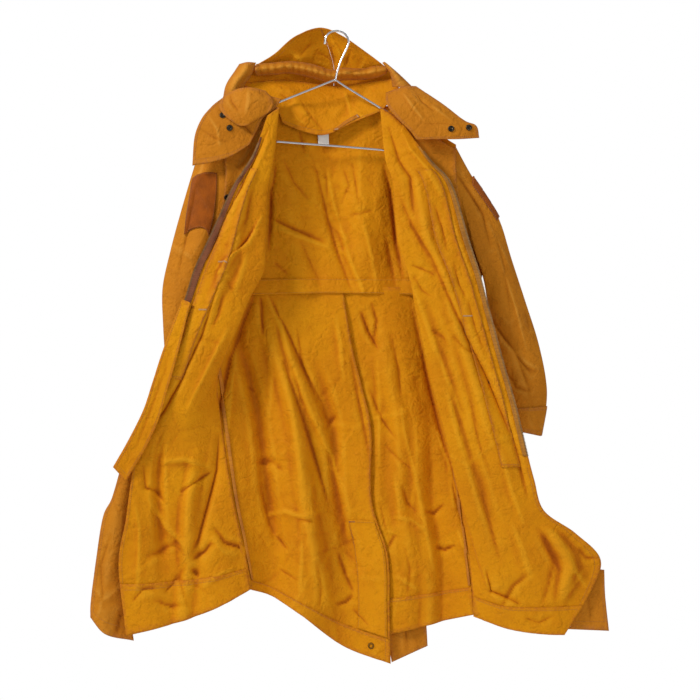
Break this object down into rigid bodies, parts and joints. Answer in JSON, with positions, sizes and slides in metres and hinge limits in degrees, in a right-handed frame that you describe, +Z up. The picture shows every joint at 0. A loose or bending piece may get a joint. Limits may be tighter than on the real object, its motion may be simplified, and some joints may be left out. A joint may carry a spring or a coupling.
{
  "type": "hooded canvas parka on a wire hanger",
  "caption": "Long hooded canvas parka with a fishtail hem, hung open on a wire hanger, its fronts rolled back to show the inside, the hood standing behind the hook.",
  "frame": {"origin": "inner top of the hanger's hook, where a rail or peg carries it", "axes": "+Z up, -Y out of the open front towards the viewer, +X the wearer's left"},
  "size_m": [0.9323, 0.1207, 1.1505],
  "materials": {
    "canvas_inside": "matte",
    "canvas_outside": "matte",
    "hook_pile": "matte",
    "zip_tape": "matte",
    "label": "satin",
    "snap_metal": "satin",
    "steel": "polished"
  },
  "bodies": {
    "root": {"hanger": "steel", "back_upper": "canvas_inside", "back_tail_right": "canvas_inside", "back_tail_left": "canvas_inside", "waist_channel": "canvas_inside", "vent_facing": "canvas_inside", "hem_tail_right": "canvas_inside", "hem_tail_left": "canvas_inside", "vent_underlap": "canvas_outside", "front_right": "canvas_inside", "front_left": "canvas_inside", "facing_right": "canvas_inside", "facing_left": "canvas_inside", "zip_tape_right": "zip_tape", "zip_tape_left": "zip_tape", "hem_front_right": "canvas_inside", "hem_front_left": "canvas_inside", "storm_flap": "canvas_inside", "placket_right": "canvas_outside", "placket_left": "canvas_outside", "sleeve_right": "canvas_outside", "sleeve_left": "canvas_outside", "cuff_right": "canvas_outside", "cuff_left": "canvas_outside", "arm_patch_right": "hook_pile", "arm_patch_left": "hook_pile", "collar_wing_right": "canvas_outside", "collar_wing_left": "canvas_outside", "collar_lobe_right": "canvas_outside", "hood_stand": "canvas_inside", "hood_right": "canvas_inside", "hood_left": "canvas_inside", "hood_channel": "canvas_outside", "hood_rim_right": "canvas_outside", "hood_rim_left": "canvas_outside", "neck_strip": "canvas_outside", "care_label": "label", "snap_right_1": "snap_metal", "snap_right_2": "snap_metal", "snap_left_1": "snap_metal", "snap_left_2": "snap_metal", "snap_front_right": "snap_metal", "hem_eyelet": "snap_metal"}
  },
  "joints": []
}
